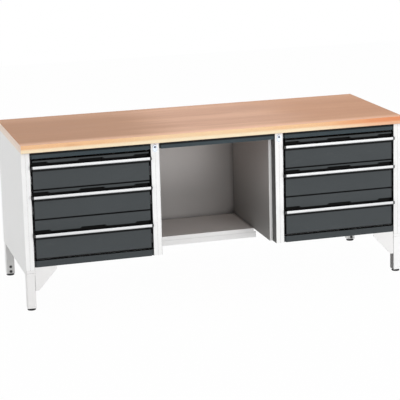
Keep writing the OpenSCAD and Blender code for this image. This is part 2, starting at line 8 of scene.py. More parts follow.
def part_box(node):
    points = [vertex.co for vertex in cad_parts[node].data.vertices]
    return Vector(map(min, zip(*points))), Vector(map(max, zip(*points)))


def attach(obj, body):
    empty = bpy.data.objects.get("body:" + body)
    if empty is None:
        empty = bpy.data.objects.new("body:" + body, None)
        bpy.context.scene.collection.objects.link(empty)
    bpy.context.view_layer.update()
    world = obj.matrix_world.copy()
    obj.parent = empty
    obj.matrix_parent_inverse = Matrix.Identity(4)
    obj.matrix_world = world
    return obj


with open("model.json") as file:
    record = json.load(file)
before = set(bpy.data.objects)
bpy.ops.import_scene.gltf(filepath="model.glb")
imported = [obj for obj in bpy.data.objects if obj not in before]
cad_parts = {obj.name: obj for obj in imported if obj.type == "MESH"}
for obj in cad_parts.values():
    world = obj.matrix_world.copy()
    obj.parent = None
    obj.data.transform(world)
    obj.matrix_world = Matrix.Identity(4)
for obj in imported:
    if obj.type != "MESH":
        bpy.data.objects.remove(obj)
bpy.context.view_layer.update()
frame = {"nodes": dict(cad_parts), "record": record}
nodes = frame["nodes"]
print("stage: frame loaded,", len(nodes), "nodes")

white = (1.0, 1.0, 1.0, 1.0)
deepShade = (0.003, 0.003, 0.003)  # painted shade: the near-black of the deep shade in gaps and recesses
facingLimit = 0.7  # a face counts as turned along an axis above this part of it
drawerSides = ("left", "right")
drawerLevels = ("top", "middle", "bottom")


class Sock:
    # a node's output, so that shader maths reads as ordinary sums
    def __init__(self, graph, out):
        self.graph = graph
        self.out = out

    def calc(self, operation, other=0.0, swap=False):
        pair = (other, self) if swap else (self, other)
        return self.graph.add("ShaderNodeMath", {"operation": operation}, dict(enumerate(pair)))

    def __add__(self, other):
        return self.calc("ADD", other)

    def __radd__(self, other):
        return self.calc("ADD", other)

    def __sub__(self, other):
        return self.calc("SUBTRACT", other)

    def __rsub__(self, other):
        return self.calc("SUBTRACT", other, swap=True)

    def __mul__(self, other):
        return self.calc("MULTIPLY", other)

    def __rmul__(self, other):
        return self.calc("MULTIPLY", other)

    def __truediv__(self, other):
        return self.calc("DIVIDE", other)

    def __rtruediv__(self, other):
        return self.calc("DIVIDE", other, swap=True)

    def above(self, other):
        return self.calc("GREATER_THAN", other)

    def below(self, other):
        return self.calc("LESS_THAN", other)

    def atLeast(self, other):
        return self.calc("MAXIMUM", other)

    def size(self):
        return self.calc("ABSOLUTE")

    def wave(self):
        return self.calc("SINE")

    def fraction(self):
        return self.calc("FRACT")


# how the nodes are laid out in the node editor
nodeGrid = {"left": -1400, "top": 900, "across": 180, "down": 220, "columns": 7}


class Graph:
    def __init__(self, tree):
        self.tree = tree
        self.count = 0
        self.place = None
        self.normal = None

    def node(self, kind, settings=None, values=None):
        # every node is made here: its type, its own settings, then the values or links of its sockets
        made = self.tree.nodes.new(kind)
        self.count += 1
        row, column = divmod(self.count, nodeGrid["columns"])
        made.location = (nodeGrid["left"] + nodeGrid["across"] * column,
                         nodeGrid["top"] - nodeGrid["down"] * row)
        for key, value in (settings or {}).items():
            setattr(made, key, value)
        for key, value in (values or {}).items():
            self.feed(made.inputs[key], value)
        return made

    def feed(self, socket, value):
        if isinstance(value, Sock):
            self.tree.links.new(value.out, socket)
        else:
            socket.default_value = value

    def add(self, kind, settings=None, values=None, output=0):
        return Sock(self, self.node(kind, settings, values).outputs[output])

    def point(self):
        if self.place is None:
            self.place = self.add("ShaderNodeTexCoord", output="Object")
        return self.place

    def facing(self):
        if self.normal is None:
            self.normal = self.add("ShaderNodeNewGeometry", output="Normal")
        return self.normal

    def axes(self, vector):
        split = self.node("ShaderNodeSeparateXYZ", values={0: vector})
        return [Sock(self, split.outputs[i]) for i in range(3)]

    def join(self, x, y, z):
        return self.add("ShaderNodeCombineXYZ", values={0: x, 1: y, 2: z})

    def noise(self, vector, scale, detail=3.0, rough=0.55):
        return self.add("ShaderNodeTexNoise", values={
            "Vector": vector, "Scale": scale, "Detail": detail, "Roughness": rough})

    def stretched(self, stretch, scale=1.0, detail=3.0, rough=0.55):
        # noise in the object's own space, finer along the axes with the larger factors
        vector = self.add("ShaderNodeVectorMath", {"operation": "MULTIPLY"}, {0: self.point(), 1: stretch})
        return self.noise(vector, scale, detail, rough)

    def cells(self, vector, scale):
        return self.add("ShaderNodeTexVoronoi", values={"Vector": vector, "Scale": scale})

    def remap(self, value, low, high, toLow=0.0, toHigh=1.0, smooth=True):
        return self.add("ShaderNodeMapRange", {"interpolation_type": "SMOOTHSTEP" if smooth else "LINEAR"},
                        {0: value, 1: low, 2: high, 3: toLow, 4: toHigh})

    def blendColor(self, factor, first, second, mode="MIX"):
        mix = self.node("ShaderNodeMix", {"data_type": "RGBA", "blend_type": mode})
        self.feed(mix.inputs[0], factor)
        for socket, value in ((mix.inputs[6], first), (mix.inputs[7], second)):
            self.feed(socket, value if isinstance(value, Sock) else (*value, 1.0))
        return Sock(self, mix.outputs[2])

    def tint(self, color, where, tone, share, span):
        # moves the colour towards a tone as a value passes through a span
        return self.blendColor(self.remap(where, *span) * share, color, tone)

    def shade(self, color, factor):
        return self.blendColor(1.0, color, self.join(factor, factor, factor), "MULTIPLY")

    def creviceShade(self, distance, strength, span, local):
        # 1 on open faces, falling towards 1 - strength deep in gaps: painted shade, from how little of the
        # surroundings each point sees
        opening = self.add("ShaderNodeAmbientOcclusion", {"samples": 8, "only_local": local},
                           {"Distance": distance}, "AO")
        return 1.0 - (1.0 - self.remap(opening, *span)) * strength

    def bump(self, height, strength, distance):
        return self.add("ShaderNodeBump", values={
            "Strength": strength, "Distance": distance, "Height": height})

    def seenDirectly(self):
        # 1 for rays to the camera, mirrored rays and rays through glass, which show the plain backdrop
        path = self.node("ShaderNodeLightPath")
        rays = ("Is Camera Ray", "Is Glossy Ray", "Is Transmission Ray")
        camera, glossy, through = (Sock(self, path.outputs[ray]) for ray in rays)
        return camera.atLeast(glossy).atLeast(through)

    def finish(self, inputs):
        shader = self.tree.nodes["Principled BSDF"]
        for key, value in inputs.items():
            self.feed(shader.inputs[key], value)


def newMaterial(name):
    made = bpy.data.materials.new(name)
    made.use_nodes = True
    return made, Graph(made.node_tree)


def newObject(name, data):
    made = bpy.data.objects.new(name, data)
    bpy.context.scene.collection.objects.link(made)
    return made


def scaledTone(tone, factor):
    return tuple(part * factor for part in tone)


# angles in degrees; focal length, shift and frame in pixels of the picture
cameraSettings = {
    "place": (-2.154, -7.693, 2.316), "yaw": 16.30, "pitch": 11.30, "roll": -1.35,
    "focal": 1549.0, "shift": (16.0, -60.0), "frame": 400.0, "sensor": 36.0, "clip": (0.1, 100.0),
}


def makeCamera(settings):
    yaw, pitch, roll = (math.radians(settings[key]) for key in ("yaw", "pitch", "roll"))
    forward = Vector((math.sin(yaw) * math.cos(pitch), math.cos(yaw) * math.cos(pitch), -math.sin(pitch)))
    right = Vector((math.cos(yaw), -math.sin(yaw), 0.0))
    up = right.cross(forward)
    turnedRight = right * math.cos(roll) + up * math.sin(roll)
    turnedUp = up * math.cos(roll) - right * math.sin(roll)
    data = bpy.data.cameras.new("camera")
    data.sensor_width = settings["sensor"]
    data.lens = settings["focal"] * settings["sensor"] / settings["frame"]
    data.shift_x = -settings["shift"][0] / settings["frame"]
    data.shift_y = settings["shift"][1] / settings["frame"]
    data.clip_start, data.clip_end = settings["clip"]
    made = newObject("camera", data)
    turn = Matrix((turnedRight, turnedUp, -forward)).transposed().to_4x4()
    made.matrix_world = Matrix.Translation(settings["place"]) @ turn
    bpy.context.scene.camera = made


lightSettings = {
    "highFront": {"place": (-2.4, -3.6, 4.8), "aim": (0.0, 0.0, 0.5), "size": (3.4, 2.6), "power": 14},
    "fillFront": {"place": (1.9, -6.4, 1.0), "aim": (0.1, 0.0, 0.5), "size": (3.0, 1.6), "power": 100},
    "topSoft": {"place": (0.0, 0.2, 4.2), "aim": (0.0, 0.0, 0.8), "size": (4.0, 2.2), "power": 36},
    "leftSide": {"place": (-5.0, -0.6, 2.2), "aim": (-0.9, 0.0, 0.5), "size": (2.4, 2.4), "power": 3},
    "rearSoft": {"place": (0.6, 4.6, 3.0), "aim": (0.0, 0.0, 0.5), "size": (3.4, 2.2), "power": 30},
    "rightSide": {"place": (5.0, 0.2, 2.2), "aim": (0.9, 0.0, 0.5), "size": (2.4, 2.4), "power": 20},
}


def makeLight(name, settings):
    data = bpy.data.lights.new(name, "AREA")
    data.shape = "RECTANGLE"
    data.size, data.size_y = settings["size"]
    data.energy = settings["power"]
    made = newObject(name, data)
    made.location = settings["place"]
    aim = Vector(settings["aim"]) - Vector(settings["place"])
    made.rotation_euler = aim.to_track_quat("-Z", "Y").to_euler()
    made.visible_camera = False


worldSettings = {"ambient": 0.72, "backdrop": 1.0}


def makeWorld(settings):
    world = bpy.data.worlds.new("studio")
    bpy.context.scene.world = world
    world.use_nodes = True
    world.node_tree.nodes.clear()
    g = Graph(world.node_tree)
    soft = g.add("ShaderNodeBackground", values={"Color": white, "Strength": settings["ambient"]})
    plain = g.add("ShaderNodeBackground", values={"Color": white, "Strength": settings["backdrop"]})
    mixed = g.add("ShaderNodeMixShader", values={0: g.seenDirectly(), 1: soft, 2: plain})
    g.node("ShaderNodeOutputWorld", values={"Surface": mixed})


# the glow's share is a little under 1, so that the floor keeps the faint shadow of the bench
floorSettings = {"size": 16.0, "tone": 0.80, "roughness": 0.9, "glow": 0.975}


def makeFloor(settings):
    half = settings["size"] / 2
    mesh = bpy.data.meshes.new("floor")
    corners = [(-half, -half, 0), (half, -half, 0), (half, half, 0), (-half, half, 0)]
    mesh.from_pydata(corners, [], [(0, 1, 2, 3)])
    made = newObject("floor", mesh)
    material, g = newMaterial("studioFloor")
    tone = settings["tone"]
    g.finish({"Base Color": (tone, tone, tone, 1.0), "Roughness": settings["roughness"]})
    surface = Sock(g, g.tree.nodes["Principled BSDF"].outputs[0])
    glow = g.add("ShaderNodeEmission", values={"Color": white, "Strength": 1.0})
    share = g.seenDirectly() * settings["glow"]
    mixed = g.add("ShaderNodeMixShader", values={0: share, 1: surface, 2: glow})
    g.feed(g.tree.nodes["Material Output"].inputs["Surface"], mixed)
    mesh.materials.append(material)


makeCamera(cameraSettings)
for lampName, lamp in lightSettings.items():
    makeLight(lampName, lamp)
makeWorld(worldSettings)
makeFloor(floorSettings)
bpy.context.scene.view_settings.view_transform = "Standard"
print("stage: camera, lights and floor")

# both faces of the worktop; spans of the tints at its ends and sides are in metres from its middle
veneerSettings = {
    "roughness": 0.58, "roughDown": 0.06, "roughUp": 0.10, "roughSpan": (0.2, 0.8), "gloss": 0.10,
    "bump": 0.25, "bumpDepth": 0.0004, "fineBump": 0.5, "fleckBump": 0.5,
    "dark": (0.42, 0.225, 0.148), "light": (0.74, 0.455, 0.305), "bandSpan": (0.34, 0.66),
    "base": (0.585, 0.335, 0.226), "baseShare": 0.52,
    "warp": {"stretch": (0.9, 3.0, 3.0), "scale": 1.3},
    "bands": {"along": 0.55, "across": 9.0, "pull": 1.6, "detail": 4.0, "rough": 0.60},
    "streaks": {"along": 2.4, "across": 95.0, "pull": 6.0, "detail": 3.0, "rough": 0.65},
    "blotch": {"stretch": (1.3, 2.6, 2.6), "scale": 1.7, "detail": 2.0},
    "fine": {"stretch": (40.0, 900.0, 900.0), "detail": 2.0},
    "fleckAlong": 55.0, "fleckAcross": 620.0, "fleckSpan": (0.10, 0.26),
    "fleckTone": (0.20, 0.10, 0.06), "fleckShare": 0.38,
    "pale": {"tone": (0.74, 0.455, 0.305), "share": 0.34, "span": (0.30, 0.72)},
    "cloudy": {"tone": (0.40, 0.215, 0.15), "share": 0.22, "span": (0.30, 0.70)},
    # how far the grain moves the border of the two ends' tones
    "wander": {"blotch": 0.22, "bands": 0.40, "streaks": 0.16},
    "leftEnd": {"tone": (0.362, 0.184, 0.098), "share": 0.80, "span": (0.24, -0.16)},
    "rightEnd": {"tone": (0.470, 0.238, 0.132), "share": 0.70, "span": (0.50, 0.96)},
    "rearStrip": {"tone": (0.66, 0.39, 0.255), "share": 0.30, "span": (0.16, 0.36)},
    "frontStrip": {"tone": (0.90, 0.56, 0.39), "share": 0.55, "span": (-0.285, -0.375)},
}
# the board's edge, with its layers counted from the bottom
edgeSettings = {
    "plyCount": 19, "thickness": 0.040, "bottom": 0.800,
    "ripple": {"stretch": (5.0, 5.0, 30.0), "detail": 2.0}, "plyWave": 0.012, "glueWidth": 0.12,
    "endGrain": {"stretch": (900.0, 900.0, 500.0), "detail": 2.0}, "endGrainShare": 0.50,
    "longGrain": {"stretch": (14.0, 14.0, 700.0)}, "longGrainShare": 0.45,
    "grainSpan": (0.3, 0.7), "grainFloor": 0.25,
    "dark": (0.95, 0.53, 0.27), "light": (1.0, 0.74, 0.45),
    "oddTone": (0.70, 0.38, 0.20), "oddShare": 0.14, "oddShade": 0.03,
    "glueTone": (0.30, 0.15, 0.07), "glueShare": 0.25, "glueShade": 0.18,
    "middleLevel": 0.52, "middle": {"tone": (0.80, 0.46, 0.25), "share": 0.25, "span": (0.16, 0.05)},
    "knotNoise": {"stretch": (5.0, 5.0, 14.0), "detail": 2.0},
    "knots": {"tone": (0.52, 0.25, 0.13), "share": 0.30, "span": (0.60, 0.74)},
    "outerWave": 0.1, "outer": {"tone": (0.93, 0.49, 0.25), "share": 0.36, "span": (0.30, 0.80)},
    "centreAt": -0.10, "centreWave": 0.2,
    "centre": {"tone": (1.0, 0.86, 0.58), "share": 0.30, "span": (0.50, 0.10)},
    "lowerSpan": (0.62, 0.30), "lowerTone": (1.0, 0.87, 0.63), "lowerShare": 0.82,
    "rightWave": 0.2, "rightSpan": (0.48, 0.92), "rightTone": (0.79, 0.268, 0.120), "rightShare": 0.84,
    "rightLower": 0.32, "endTone": (0.97, 0.83, 0.74), "endShare": 0.85,
}


def beechMaterial(name, veneer, board):
    made, g = newMaterial(name)
    x, y, z = g.axes(g.point())
    facing = g.axes(g.facing())

    def grain(along, across, pull, detail, rough):
        return g.noise(g.join(x * along, y * across + warp * pull, z * across), 1.0, detail, rough)

    # face veneer: long soft bands, fine streaks and the short dark flecks of beech
    warp = g.stretched(**veneer["warp"])
    bands = grain(**veneer["bands"])
    streaks = grain(**veneer["streaks"])
    blotch = g.stretched(**veneer["blotch"])
    along, across = veneer["fleckAlong"], veneer["fleckAcross"]
    flecks = g.cells(g.join(x * along + streaks, y * across, z * across), 1.0)
    fleck = g.remap(flecks, *veneer["fleckSpan"], 1.0, 0.0)
    face = g.blendColor(g.remap(bands, *veneer["bandSpan"]), veneer["dark"], veneer["light"])
    face = g.blendColor(veneer["baseShare"], face, veneer["base"])
    face = g.tint(face, streaks, **veneer["pale"])
    face = g.tint(face, blotch, **veneer["cloudy"])
    wander = veneer["wander"]
    reach = x + blotch * wander["blotch"] + bands * wander["bands"] + (streaks - 0.5) * wander["streaks"]
    face = g.tint(face, reach, **veneer["leftEnd"])
    face = g.tint(face, reach, **veneer["rightEnd"])
    face = g.tint(face, y, **veneer["rearStrip"])
    face = g.tint(face, y, **veneer["frontStrip"])
    face = g.blendColor(fleck * veneer["fleckShare"], face, veneer["fleckTone"])
    # board edge: stacked plies, alternately long grain and end grain, with thin glue lines
    level = (z - board["bottom"]) / board["thickness"]
    ripple = g.stretched(**board["ripple"]) - 0.5
    ply = (level + ripple * board["plyWave"]) * board["plyCount"]
    odd = (ply * 0.5).fraction().above(0.5)
    glue = ply.fraction().below(board["glueWidth"])
    endGrain = g.remap(g.stretched(**board["endGrain"]), *board["grainSpan"])
    longGrain = g.remap(g.stretched(**board["longGrain"]), *board["grainSpan"])
    plyTone = endGrain * odd * board["endGrainShare"]
    plyTone = plyTone + longGrain * (1.0 - odd) * board["longGrainShare"] + board["grainFloor"]
    edge = g.blendColor(plyTone, board["dark"], board["light"])
    edge = g.blendColor(odd * board["oddShare"], edge, board["oddTone"])
    edge = g.blendColor(glue * board["glueShare"], edge, board["glueTone"])
    edge = g.tint(edge, (level - board["middleLevel"]).size(), **board["middle"])
    edge = g.tint(edge, g.stretched(**board["knotNoise"]), **board["knots"])
    edge = g.tint(edge, (x + ripple * board["outerWave"]).size(), **board["outer"])
    edge = g.tint(edge, (x - board["centreAt"] + ripple * board["centreWave"]).size(), **board["centre"])
    # the lower plies are paler, and the right end redder, less so in those plies
    lower = g.remap(level, *board["lowerSpan"])
    edge = g.blendColor(lower * board["lowerShare"], edge, board["lowerTone"])
    redder = g.remap(x + ripple * board["rightWave"], *board["rightSpan"])
    redder = redder * (1.0 - lower * board["rightLower"])
    edge = g.blendColor(redder * board["rightShare"], edge, board["rightTone"])
    endFace = facing[0].size().above(facingLimit)
    edge = g.blendColor(endFace * board["endShare"], edge, board["endTone"])
    edge = g.shade(edge, 1.0 - glue * board["glueShade"] - odd * board["oddShade"])
    height = g.stretched(**veneer["fine"]) * veneer["fineBump"] + (1.0 - fleck) * veneer["fleckBump"]
    low, high = veneer["roughness"] - veneer["roughDown"], veneer["roughness"] + veneer["roughUp"]
    g.finish({
        "Base Color": g.blendColor(facing[2].size().above(facingLimit), edge, face),
        "Roughness": g.remap(streaks, *veneer["roughSpan"], low, high, False),
        "Normal": g.bump(height, veneer["bump"], veneer["bumpDepth"]),
        "Specular IOR Level": veneer["gloss"],
    })
    return made


# powder coat: what a paint's own settings leave out, and the fine texture that all of them share
paintDefaults = {
    "roughness": 0.52, "grain": 900.0, "bump": 0.12, "gloss": 0.30, "cloud": 0.035,
    "creviceReach": 0.030, "creviceShade": 0.75, "creviceSpan": (0.22, 0.82), "creviceLocal": False,
    "secondSign": 0.0, "secondOpen": False, "bandStrength": 0.90,
}
paintTexture = {
    "drift": {"stretch": (2.0, 2.0, 3.0), "scale": 1.5}, "driftSpan": (0.3, 0.7),
    "rub": {"stretch": (9.0, 9.0, 26.0), "detail": 4.0, "rough": 0.65}, "rubSpan": (0.58, 0.74),
    "rubTone": (0.62, 0.60, 0.56), "rubShare": 0.012, "rubRough": 0.06,
    "peelDetail": 2.0, "peelRough": 0.5, "peelSpan": (0.35, 0.70), "peelShare": 0.10, "peelTone": 0.80,
    "peelBump": 0.6, "dappleScale": 0.28, "dappleBump": 0.4, "dappleRough": 0.08, "bumpDepth": 0.0003,
    "roughSpan": (0.25, 0.75), "roughDown": 0.04, "roughUp": 0.05,
    "thinSpan": (0.1, 0.3), "thinShare": 0.94,
}


def paintMaterial(name, changes, bands=()):
    settings = dict(paintDefaults, **changes)
    texture = paintTexture
    made, g = newMaterial(name)
    x, y, z = g.axes(g.point())
    detail, rough = texture["peelDetail"], texture["peelRough"]
    peel = g.noise(g.point(), settings["grain"], detail, rough)
    dapple = g.noise(g.point(), settings["grain"] * texture["dappleScale"], detail, rough)
    drift = g.stretched(**texture["drift"])
    rub = g.remap(g.stretched(**texture["rub"]), *texture["rubSpan"])
    base, cloud = settings["base"], settings["cloud"]
    color = g.blendColor(g.remap(drift, *texture["driftSpan"]),
                         scaledTone(base, 1 - cloud), scaledTone(base, 1 + cloud))
    peelTone = scaledTone(base, texture["peelTone"])
    color = g.tint(color, peel, peelTone, texture["peelShare"], texture["peelSpan"])
    color = g.blendColor(rub * texture["rubShare"], color, texture["rubTone"])
    if "paintedLightTone" in settings:
        # painted light: a lighter tone higher up and, where the settings say so, towards one side, where
        # more of the lamps' light falls
        paintedLight = g.remap(z, *settings["paintedLightUp"])
        if "paintedLightAcross" in settings:
            paintedLight = paintedLight * g.remap(x, *settings["paintedLightAcross"])
        color = g.blendColor(paintedLight, color, settings["paintedLightTone"])
    if "second" in settings:
        # another tone on the faces turned along one axis; without a sign, both ways. It paints light and
        # shade: lit and shaded faces of one paint get different tones
        along = g.axes(g.facing())[settings["secondAxis"]]
        sign = settings["secondSign"]
        turned = (along * sign if sign else along.size()).above(facingLimit)
        turned = turned * g.remap(drift, *texture["thinSpan"], texture["thinShare"], 1.0)
        color = g.blendColor(turned, color, settings["second"])
    for low, high, slanted in bands:
        # deep shade between two heights
        soft = settings["bandSoft"]
        # painted shade that rises beside the tall parts of the finger recess
        if slanted:
            high = high + notchShadeSlope(g, x, settings) * settings["notchShadeRise"]
        inside = g.remap(z, low - soft, low + soft) * g.remap(z, high - soft, high + soft, 1.0, 0.0)
        color = g.blendColor(inside * settings["bandStrength"], color, deepShade)
    if "endShade" in settings:
        # the same shade at both ends of each front
        for end in frontEnds():
            near = (x.size() - end).size().below(settings["endShade"])
            color = g.blendColor(near * settings["bandStrength"], color, deepShade)
    if "gapBack" in settings:
        # the same on the inner face of the right upright, which lines the gap beside the drawer fronts
        inner = (g.axes(g.facing())[0] * -1.0).above(facingLimit) * x.above(settings["gapBeyond"])
        inner = inner * y.below(settings["gapBack"])
        color = g.blendColor(inner * settings["gapStrength"], color, deepShade)
    if "recessFrom" in settings:
        # and on all that lies behind the front's outer face, such as the finger recess
        behind = y.above(settings["recessFrom"])
        color = g.blendColor(behind * settings["recessStrength"], color, deepShade)
    # painted shade in gaps, corners and under overhangs, multiplied into the colour
    dim = g.creviceShade(settings["creviceReach"], settings["creviceShade"], settings["creviceSpan"],
                    settings["creviceLocal"])
    if settings["secondOpen"]:
        dim = dim.atLeast(turned)
    low = settings["roughness"] - texture["roughDown"]
    high = settings["roughness"] + texture["roughUp"]
    roughness = g.remap(drift, *texture["roughSpan"], low, high, False)
    g.finish({
        "Base Color": g.shade(color, dim),
        "Roughness": roughness + rub * texture["rubRough"] + (dapple - 0.5) * texture["dappleRough"],
        "Normal": g.bump(peel * texture["peelBump"] + dapple * texture["dappleBump"],
                         settings["bump"], texture["bumpDepth"]),
        "Specular IOR Level": settings["gloss"],
    })
    return made


def frontEnds():
    # how far the two ends of a drawer front are from the bench's middle; left and right mirror each other
    return [abs(corner[0]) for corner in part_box("left_top_drawer_front")]


def notchShadeSlope(g, x, settings):
    # 1 beside the tall parts of the finger recess, falling to 0 over a run beside them: painted shade that
    # gives their square ends a slant
    outer, inner = frontEnds()
    fromMiddle = (x.size() - (outer + inner) / 2).size()
    middle = settings["notchMiddle"] / 2
    end = abs(outer - inner) / 2 - settings["notchEnd"]
    run = settings["notchShadeRun"]
    return g.remap(fromMiddle, middle + run, middle).atLeast(g.remap(fromMiddle, end - run, end))


def frontBands(settings, level):
    # deep shade in the slot above the handle, just under it, and along the joints between the drawers
    handleLow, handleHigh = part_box("left_%s_drawer_handle" % level)
    frontLow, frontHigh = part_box("left_%s_drawer_front" % level)
    edge = settings["edgeShade"]
    return [(handleLow[2] - settings["pullBelow"], handleHigh[2] + settings["pullAbove"], True),
            (frontLow[2] - edge, frontLow[2] + edge, False),
            (frontHigh[2] - edge, frontHigh[2] + edge, False)]


def fasciaBands(settings):
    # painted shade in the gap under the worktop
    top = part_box("fascia_left")[1][2]
    return [(top - settings["underTop"], top + settings["pastTop"], False)]


def shelfBands(settings):
    # the fine shade under the shelf's upper front face
    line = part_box("base_shelf")[0][2] + settings["apron"]
    return [(line - settings["underLip"], line, False)]


frontSettings = {
    "base": (0.067, 0.075, 0.079), "roughness": 0.56, "grain": 1100.0, "bump": 0.18, "gloss": 0.10,
    "creviceReach": 0.020, "creviceShade": 0.92, "creviceLocal": True,
    "recessFrom": -0.3535, "recessStrength": 0.94, "bandSoft": 0.0012,
    "pullAbove": 0.0105, "pullBelow": 0.0140, "edgeShade": 0.0022, "endShade": 0.0026,
    "notchShadeRise": 0.0070, "notchShadeRun": 0.013, "notchMiddle": 0.115, "notchEnd": 0.072,
}
fasciaSettings = {
    "base": (0.048, 0.067, 0.077), "roughness": 0.54, "grain": 1100.0, "bump": 0.18, "gloss": 0.14,
    "creviceShade": 0.92, "bandSoft": 0.0012, "underTop": 0.0085, "pastTop": 0.02,
}
railSettings = {
    "base": (0.058, 0.066, 0.070), "roughness": 0.56, "grain": 1100.0, "bump": 0.18, "gloss": 0.10,
    "creviceShade": 0.85,
}
# painted light and shade: the deck is a shaded copy of the light paint, and the front faces are lighter
# than the body paint
shelfSettings = {
    "base": (0.76, 0.755, 0.75), "creviceShade": 0.55, "creviceSpan": (0.48, 0.90),
    "second": (1.0, 1.0, 0.995), "secondAxis": 1, "secondOpen": True,
    "bandSoft": 0.0010, "bandStrength": 0.14, "underLip": 0.0040, "apron": 0.031,
}
# painted shade: the bay's side walls are a shaded copy of the light paint, with painted light higher up;
# the front flanges keep the light paint
bayWallSettings = {
    "base": (0.270, 0.262, 0.255), "roughness": 0.55, "creviceReach": 0.040, "creviceShade": 0.62,
    "second": (1.0, 1.0, 0.995), "secondAxis": 1, "secondOpen": True,
    "paintedLightTone": (0.430, 0.414, 0.404), "paintedLightUp": (0.30, 0.62),
}
# painted shade: the bay's back is a shaded copy of the light paint, with painted light higher up and
# towards the left; its rear face keeps the light paint
bayBackSettings = {
    "base": (0.415, 0.402, 0.394), "roughness": 0.55, "creviceReach": 0.050, "creviceShade": 0.72,
    "second": (0.94, 0.94, 0.935), "secondAxis": 1, "secondSign": 1.0,
    "paintedLightTone": (0.665, 0.650, 0.640), "paintedLightAcross": (0.32, 0.03), "paintedLightUp": (0.33, 0.58),
}
# painted shade: the posts' side faces, turned into the bay and the drawer gaps, are near-black
postSettings = {"base": (0.98, 0.98, 0.975), "second": (0.085, 0.084, 0.084), "secondAxis": 0}
bodySettings = {"base": (0.95, 0.95, 0.945), "cloud": 0.012}
boxSettings = dict(bodySettings, creviceLocal=True)
lowerSettings = dict(bodySettings, base=(0.885, 0.876, 0.870))
# painted shade: the front right leg's inner face, turned towards the middle, is darker
rightLegSettings = {
    "base": (0.95, 0.95, 0.945), "second": (0.20, 0.195, 0.19), "secondAxis": 0, "secondSign": -1.0,
}
# painted shade: the rear legs are a shaded copy of the body paint, darker still on the faces turned to the
# front, under the bench
rearLegSettings = {
    "base": (0.88, 0.88, 0.875), "second": (0.62, 0.615, 0.61), "secondAxis": 1, "secondSign": -1.0,
}
# painted shade: the side faces are darker than the front faces, and the right upright's inner face beside
# the drawer fronts gets the near-black deep shade
endFrameSettings = {
    "base": (0.95, 0.95, 0.945), "second": (0.88, 0.88, 0.875), "secondAxis": 0,
    "gapBack": -0.325, "gapBeyond": 0.5, "gapStrength": 0.96,
}


brushedDefaults = {
    "metallic": 1.0, "axis": 2, "lineAlong": 12.0, "lineAcross": 1400.0, "lineRough": 0.6,
    "lineSpan": (0.3, 0.7), "lineTone": 0.90, "patchScale": 14.0, "patchTone": 0.78,
    "patches": {"share": 0.12, "span": (0.35, 0.75)}, "patchRough": 0.08,
    "roughSpan": (0.25, 0.75), "roughDown": 0.06, "roughUp": 0.09, "bump": 0.12, "bumpDepth": 0.0002,
}


def brushedMaterial(name, changes):
    # metal with fine lines along one axis and faint patches
    settings = dict(brushedDefaults, **changes)
    made, g = newMaterial(name)
    stretch = [settings["lineAcross"]] * 3
    stretch[settings["axis"]] = settings["lineAlong"]
    lines = g.stretched(stretch, rough=settings["lineRough"])
    patches = g.noise(g.point(), settings["patchScale"])
    base = settings["base"]
    lineTone = scaledTone(base, settings["lineTone"])
    color = g.blendColor(g.remap(lines, *settings["lineSpan"]), lineTone, base)
    color = g.tint(color, patches, scaledTone(base, settings["patchTone"]), **settings["patches"])
    low = settings["roughness"] - settings["roughDown"]
    high = settings["roughness"] + settings["roughUp"]
    roughness = g.remap(lines, *settings["roughSpan"], low, high, False)
    g.finish({
        "Base Color": color, "Metallic": settings["metallic"],
        "Roughness": roughness + (patches - 0.5) * settings["patchRough"],
        "Normal": g.bump(lines, settings["bump"], settings["bumpDepth"]),
    })
    return made


handleSettings = {"base": (0.66, 0.665, 0.675), "roughness": 0.46, "axis": 0}
lockSettings = {"base": (0.60, 0.65, 0.72), "roughness": 0.30, "metallic": 0.75}
barrelSettings = {"base": (0.13, 0.14, 0.17), "roughness": 0.24}

zincSettings = {
    "base": (0.60, 0.62, 0.65), "crystals": 160.0, "crystalSpan": (0.1, 0.8), "crystalTone": 0.88,
    "hazeScale": 60.0, "haze": {"tone": (0.70, 0.69, 0.60), "share": 0.25, "span": (0.40, 0.75)},
    "lines": {"stretch": (900.0, 16.0, 900.0), "detail": 2.0}, "lineRough": 0.12,
    "roughness": 0.38, "roughDown": 0.05, "roughUp": 0.10,
    "bump": 0.10, "bumpDepth": 0.0002, "lineBump": 0.6, "hazeBump": 0.4,
}


def spangledMaterial(name, settings):
    # zinc plate: crystals, a faint yellow haze and fine lines along the runners
    made, g = newMaterial(name)
    crystals = g.cells(g.point(), settings["crystals"])
    haze = g.noise(g.point(), settings["hazeScale"])
    lines = g.stretched(**settings["lines"])
    base = settings["base"]
    crystalTone = scaledTone(base, settings["crystalTone"])
    color = g.blendColor(g.remap(crystals, *settings["crystalSpan"]), crystalTone, base)
    low = settings["roughness"] - settings["roughDown"]
    high = settings["roughness"] + settings["roughUp"]
    roughness = g.remap(crystals, 0.0, 1.0, low, high, False)
    g.finish({
        "Base Color": g.tint(color, haze, **settings["haze"]), "Metallic": 1.0,
        "Roughness": roughness + (lines - 0.5) * settings["lineRough"],
        "Normal": g.bump(lines * settings["lineBump"] + haze * settings["hazeBump"],
                         settings["bump"], settings["bumpDepth"]),
    })
    return made


plasticSettings = {
    "base": (0.020, 0.020, 0.021), "grainNoise": {"scale": 1500.0, "detail": 2.0},
    "grain": {"tone": (0.012, 0.012, 0.012), "share": 0.2, "span": (0.4, 0.7)},
    "scuff": {"scale": 90.0, "detail": 4.0, "rough": 0.7}, "scuffSpan": (0.60, 0.78),
    "scuffTone": (0.060, 0.058, 0.055), "scuffShare": 0.5, "scuffRough": 0.12,
    "roughness": 0.55, "roughSpan": (0.2, 0.8), "roughDown": 0.08, "roughUp": 0.10,
    "bump": 0.20, "bumpDepth": 0.0003, "threadPitch": 0.00175, "threadBump": 0.12,
}


